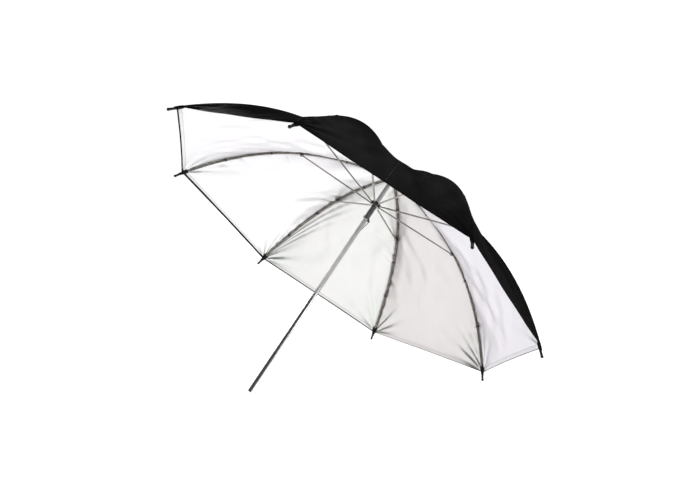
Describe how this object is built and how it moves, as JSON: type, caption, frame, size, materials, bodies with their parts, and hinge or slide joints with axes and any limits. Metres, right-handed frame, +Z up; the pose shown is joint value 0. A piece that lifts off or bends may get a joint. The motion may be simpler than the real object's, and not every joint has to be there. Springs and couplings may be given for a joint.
{
  "type": "umbrella reflector",
  "caption": "Folding photographic umbrella reflector: silver inside, black outside, on a ribbed frame with a sliding runner and a round shaft that a stand clamps.",
  "frame": {"origin": "centre of the shaft's free end, where a stand's holder clamps it", "axes": "+Z up and +X along the lower rim; the open umbrella lies on two tips and the shaft's end, and the shaft rises towards +Y at 38.26 degrees from vertical"},
  "size_m": [0.6968, 0.5487, 0.4539],
  "materials": {
    "chrome_tube": "polished",
    "steel_wire": "plated",
    "rib_steel": "dull plated",
    "black_plastic": "satin",
    "tip_plastic": "matt",
    "canopy_cloth": "silver coated inside, black nylon outside"
  },
  "bodies": {
    "shaft": {"shaft": "chrome_tube", "shaft_end_plug": "black_plastic", "catch_pin": "steel_wire", "crown": "black_plastic", "crown_wire": "steel_wire", "cap_washer": "black_plastic", "top_cap": "black_plastic"},
    "runner": {"runner_sleeve": "chrome_tube", "runner_ring": "black_plastic", "runner_wire": "steel_wire", "runner_retainer": "steel_wire"},
    "catch": {"catch_spring": "steel_wire"},
    "rib_1": {"rib_1": "rib_steel", "rib_tip_1": "tip_plastic", "rib_joint_1": "steel_wire"},
    "stretcher_1": {"stretcher_1": "rib_steel"},
    "rib_2": {"rib_2": "rib_steel", "rib_tip_2": "tip_plastic", "rib_joint_2": "steel_wire"},
    "stretcher_2": {"stretcher_2": "rib_steel"},
    "rib_3": {"rib_3": "rib_steel", "rib_tip_3": "tip_plastic", "rib_joint_3": "steel_wire"},
    "stretcher_3": {"stretcher_3": "rib_steel"},
    "rib_4": {"rib_4": "rib_steel", "rib_tip_4": "tip_plastic", "rib_joint_4": "steel_wire"},
    "stretcher_4": {"stretcher_4": "rib_steel"},
    "rib_5": {"rib_5": "rib_steel", "rib_tip_5": "tip_plastic", "rib_joint_5": "steel_wire"},
    "stretcher_5": {"stretcher_5": "rib_steel"},
    "rib_6": {"rib_6": "rib_steel", "rib_tip_6": "tip_plastic", "rib_joint_6": "steel_wire"},
    "stretcher_6": {"stretcher_6": "rib_steel"},
    "rib_7": {"rib_7": "rib_steel", "rib_tip_7": "tip_plastic", "rib_joint_7": "steel_wire"},
    "stretcher_7": {"stretcher_7": "rib_steel"},
    "rib_8": {"rib_8": "rib_steel", "rib_tip_8": "tip_plastic", "rib_joint_8": "steel_wire"},
    "stretcher_8": {"stretcher_8": "rib_steel"},
    "panel_1_a": {"panel_1_a": "canopy_cloth"},
    "panel_1_b": {"panel_1_b": "canopy_cloth"},
    "panel_2_a": {"panel_2_a": "canopy_cloth"},
    "panel_2_b": {"panel_2_b": "canopy_cloth"},
    "panel_3_a": {"panel_3_a": "canopy_cloth"},
    "panel_3_b": {"panel_3_b": "canopy_cloth"},
    "panel_4_a": {"panel_4_a": "canopy_cloth"},
    "panel_4_b": {"panel_4_b": "canopy_cloth"},
    "panel_5_a": {"panel_5_a": "canopy_cloth"},
    "panel_5_b": {"panel_5_b": "canopy_cloth"},
    "panel_6_a": {"panel_6_a": "canopy_cloth"},
    "panel_6_b": {"panel_6_b": "canopy_cloth"},
    "panel_7_a": {"panel_7_a": "canopy_cloth"},
    "panel_7_b": {"panel_7_b": "canopy_cloth"},
    "panel_8_a": {"panel_8_a": "canopy_cloth"},
    "panel_8_b": {"panel_8_b": "canopy_cloth"}
  },
  "joints": [
    {"name": "fold", "type": "hinge", "parent": "shaft", "child": "rib_1", "pos_m": [-0.00287, 0.27259, 0.35685], "axis": [0.9239, -0.3005, 0.237], "range_deg": [0, 62], "deforming": ["catch_spring", "panel_1_a", "panel_1_b", "panel_2_a", "panel_2_b", "panel_3_a", "panel_3_b", "panel_4_a", "panel_4_b", "panel_5_a", "panel_5_b", "panel_6_a", "panel_6_b", "panel_7_a", "panel_7_b", "panel_8_a", "panel_8_b"]},
    {"name": "rib_2_fold", "type": "hinge", "parent": "shaft", "child": "rib_2", "pos_m": [-0.00693, 0.27578, 0.35434], "axis": [0.3827, -0.7254, 0.5721], "range_deg": [-0.5, 62.5]},
    {"name": "rib_3_fold", "type": "hinge", "parent": "shaft", "child": "rib_3", "pos_m": [-0.00693, 0.28029, 0.35078], "axis": [-0.3827, -0.7254, 0.5721], "range_deg": [-0.5, 62.5]},
    {"name": "rib_4_fold", "type": "hinge", "parent": "shaft", "child": "rib_4", "pos_m": [-0.00287, 0.28348, 0.34827], "axis": [-0.9239, -0.3005, 0.237], "range_deg": [-0.5, 62.5]},
    {"name": "rib_5_fold", "type": "hinge", "parent": "shaft", "child": "rib_5", "pos_m": [0.00287, 0.28348, 0.34827], "axis": [-0.9239, 0.3005, -0.237], "range_deg": [-0.5, 62.5]},
    {"name": "rib_6_fold", "type": "hinge", "parent": "shaft", "child": "rib_6", "pos_m": [0.00693, 0.28029, 0.35078], "axis": [-0.3827, 0.7254, -0.5721], "range_deg": [-0.5, 62.5]},
    {"name": "rib_7_fold", "type": "hinge", "parent": "shaft", "child": "rib_7", "pos_m": [0.00693, 0.27578, 0.35434], "axis": [0.3827, 0.7254, -0.5721], "range_deg": [-0.5, 62.5]},
    {"name": "rib_8_fold", "type": "hinge", "parent": "shaft", "child": "rib_8", "pos_m": [0.00287, 0.27259, 0.35685], "axis": [0.9239, 0.3005, -0.237], "range_deg": [-0.5, 62.5]},
    {"name": "stretcher_1_pivot", "type": "hinge", "parent": "rib_1", "child": "stretcher_1", "pos_m": [-0.06888, 0.12888, 0.43198], "axis": [0.9239, -0.3005, 0.237], "range_deg": [-125, 1]},
    {"name": "stretcher_2_pivot", "type": "hinge", "parent": "rib_2", "child": "stretcher_2", "pos_m": [-0.1663, 0.20537, 0.37166], "axis": [0.3827, -0.7254, 0.5721], "range_deg": [-125, 1]},
    {"name": "stretcher_3_pivot", "type": "hinge", "parent": "rib_3", "child": "stretcher_3", "pos_m": [-0.1663, 0.31355, 0.28635], "axis": [-0.3827, -0.7254, 0.5721], "range_deg": [-125, 1]},
    {"name": "stretcher_4_pivot", "type": "hinge", "parent": "rib_4", "child": "stretcher_4", "pos_m": [-0.06888, 0.39004, 0.22603], "axis": [-0.9239, -0.3005, 0.237], "range_deg": [-125, 1]},
    {"name": "stretcher_5_pivot", "type": "hinge", "parent": "rib_5", "child": "stretcher_5", "pos_m": [0.06888, 0.39004, 0.22603], "axis": [-0.9239, 0.3005, -0.237], "range_deg": [-125, 1]},
    {"name": "stretcher_6_pivot", "type": "hinge", "parent": "rib_6", "child": "stretcher_6", "pos_m": [0.1663, 0.31355, 0.28635], "axis": [-0.3827, 0.7254, -0.5721], "range_deg": [-125, 1]},
    {"name": "stretcher_7_pivot", "type": "hinge", "parent": "rib_7", "child": "stretcher_7", "pos_m": [0.1663, 0.20537, 0.37166], "axis": [0.3827, 0.7254, -0.5721], "range_deg": [-125, 1]},
    {"name": "stretcher_8_pivot", "type": "hinge", "parent": "rib_8", "child": "stretcher_8", "pos_m": [0.06888, 0.12888, 0.43198], "axis": [0.9239, 0.3005, -0.237], "range_deg": [-125, 1]},
    {"name": "runner_pivot", "type": "hinge", "parent": "stretcher_1", "child": "runner", "pos_m": [-0.00287, 0.23544, 0.30974], "axis": [0.9239, -0.3005, 0.237], "range_deg": [-0.5, 62.5]},
    {"name": "panel_1_a_drape", "type": "hinge", "parent": "rib_1", "child": "panel_1_a", "pos_m": [-0.00425, 0.27304, 0.3565], "axis": [-0.96, 0.0998, 0.2616], "range_deg": [-0.5, 29.59]},
    {"name": "panel_1_b_drape", "type": "hinge", "parent": "rib_2", "child": "panel_1_b", "pos_m": [-0.00636, 0.2747, 0.35519], "axis": [0.0837, 0.5884, -0.8043], "range_deg": [-0.5, 29.59]},
    {"name": "panel_2_a_drape", "type": "hinge", "parent": "rib_2", "child": "panel_2_a", "pos_m": [-0.0075, 0.27686, 0.35348], "axis": [-0.738, 0.652, -0.1739], "range_deg": [-0.5, 29.59]},
    {"name": "panel_2_b_drape", "type": "hinge", "parent": "rib_3", "child": "panel_2_b", "pos_m": [-0.0075, 0.27921, 0.35163], "axis": [0.738, 0.3211, -0.5935], "range_deg": [-0.5, 29.59]},
    {"name": "panel_3_a_drape", "type": "hinge", "parent": "rib_3", "child": "panel_3_a", "pos_m": [-0.00636, 0.28137, 0.34993], "axis": [-0.0837, 0.9193, -0.3847], "range_deg": [-0.5, 29.59]},
    {"name": "panel_3_b_drape", "type": "hinge", "parent": "rib_4", "child": "panel_3_b", "pos_m": [-0.00425, 0.28303, 0.34862], "axis": [0.96, -0.2311, -0.158], "range_deg": [-0.5, 29.59]},
    {"name": "panel_4_a_drape", "type": "hinge", "parent": "rib_4", "child": "panel_4_a", "pos_m": [-0.00149, 0.28392, 0.34791], "axis": [0.6197, 0.7449, -0.2472], "range_deg": [-0.5, 29.59]},
    {"name": "panel_4_b_drape", "type": "hinge", "parent": "rib_5", "child": "panel_4_b", "pos_m": [0.00149, 0.28392, 0.34791], "axis": [0.6197, -0.7449, 0.2472], "range_deg": [-0.5, 29.59]},
    {"name": "panel_5_a_drape", "type": "hinge", "parent": "rib_5", "child": "panel_5_a", "pos_m": [0.00425, 0.28303, 0.34862], "axis": [0.96, 0.2311, 0.158], "range_deg": [-0.5, 29.59]},
    {"name": "panel_5_b_drape", "type": "hinge", "parent": "rib_6", "child": "panel_5_b", "pos_m": [0.00636, 0.28137, 0.34993], "axis": [-0.0837, -0.9193, 0.3847], "range_deg": [-0.5, 29.59]},
    {"name": "panel_6_a_drape", "type": "hinge", "parent": "rib_6", "child": "panel_6_a", "pos_m": [0.0075, 0.27921, 0.35163], "axis": [0.738, -0.3211, 0.5935], "range_deg": [-0.5, 29.59]},
    {"name": "panel_6_b_drape", "type": "hinge", "parent": "rib_7", "child": "panel_6_b", "pos_m": [0.0075, 0.27686, 0.35348], "axis": [-0.738, -0.652, 0.1739], "range_deg": [-0.5, 29.59]},
    {"name": "panel_7_a_drape", "type": "hinge", "parent": "rib_7", "child": "panel_7_a", "pos_m": [0.00636, 0.2747, 0.35519], "axis": [0.0837, -0.5884, 0.8043], "range_deg": [-0.5, 29.59]},
    {"name": "panel_7_b_drape", "type": "hinge", "parent": "rib_8", "child": "panel_7_b", "pos_m": [0.00425, 0.27304, 0.3565], "axis": [-0.96, -0.0998, -0.2616], "range_deg": [-0.5, 29.59]},
    {"name": "panel_8_a_drape", "type": "hinge", "parent": "rib_8", "child": "panel_8_a", "pos_m": [0.00149, 0.27215, 0.3572], "axis": [-0.6197, -0.414, 0.6668], "range_deg": [-0.5, 29.59]},
    {"name": "panel_8_b_drape", "type": "hinge", "parent": "rib_1", "child": "panel_8_b", "pos_m": [-0.00149, 0.27215, 0.3572], "axis": [-0.6197, 0.414, -0.6668], "range_deg": [-0.5, 29.59]},
    {"name": "catch_press", "type": "hinge", "parent": "shaft", "child": "catch", "pos_m": [0.0018, 0.20892, 0.26201], "axis": [0.7071, -0.5552, 0.4379], "range_deg": [0, 12], "stiffness_Nm_per_rad": 0.5}
  ],
  "couplings": [
    {"joint": "rib_2_fold", "follows": "fold", "ratio": 1},
    {"joint": "rib_3_fold", "follows": "fold", "ratio": 1},
    {"joint": "rib_4_fold", "follows": "fold", "ratio": 1},
    {"joint": "rib_5_fold", "follows": "fold", "ratio": 1},
    {"joint": "rib_6_fold", "follows": "fold", "ratio": 1},
    {"joint": "rib_7_fold", "follows": "fold", "ratio": 1},
    {"joint": "rib_8_fold", "follows": "fold", "ratio": 1},
    {"joint": "stretcher_1_pivot", "follows": "fold", "ratio": -2},
    {"joint": "stretcher_2_pivot", "follows": "fold", "ratio": -2},
    {"joint": "stretcher_3_pivot", "follows": "fold", "ratio": -2},
    {"joint": "stretcher_4_pivot", "follows": "fold", "ratio": -2},
    {"joint": "stretcher_5_pivot", "follows": "fold", "ratio": -2},
    {"joint": "stretcher_6_pivot", "follows": "fold", "ratio": -2},
    {"joint": "stretcher_7_pivot", "follows": "fold", "ratio": -2},
    {"joint": "stretcher_8_pivot", "follows": "fold", "ratio": -2},
    {"joint": "runner_pivot", "follows": "fold", "ratio": 1},
    {"joint": "panel_1_a_drape", "follows": "fold", "ratio": 0.46916},
    {"joint": "panel_1_b_drape", "follows": "fold", "ratio": 0.46916},
    {"joint": "panel_2_a_drape", "follows": "fold", "ratio": 0.46916},
    {"joint": "panel_2_b_drape", "follows": "fold", "ratio": 0.46916},
    {"joint": "panel_3_a_drape", "follows": "fold", "ratio": 0.46916},
    {"joint": "panel_3_b_drape", "follows": "fold", "ratio": 0.46916},
    {"joint": "panel_4_a_drape", "follows": "fold", "ratio": 0.46916},
    {"joint": "panel_4_b_drape", "follows": "fold", "ratio": 0.46916},
    {"joint": "panel_5_a_drape", "follows": "fold", "ratio": 0.46916},
    {"joint": "panel_5_b_drape", "follows": "fold", "ratio": 0.46916},
    {"joint": "panel_6_a_drape", "follows": "fold", "ratio": 0.46916},
    {"joint": "panel_6_b_drape", "follows": "fold", "ratio": 0.46916},
    {"joint": "panel_7_a_drape", "follows": "fold", "ratio": 0.46916},
    {"joint": "panel_7_b_drape", "follows": "fold", "ratio": 0.46916},
    {"joint": "panel_8_a_drape", "follows": "fold", "ratio": 0.46916},
    {"joint": "panel_8_b_drape", "follows": "fold", "ratio": 0.46916}
  ]
}
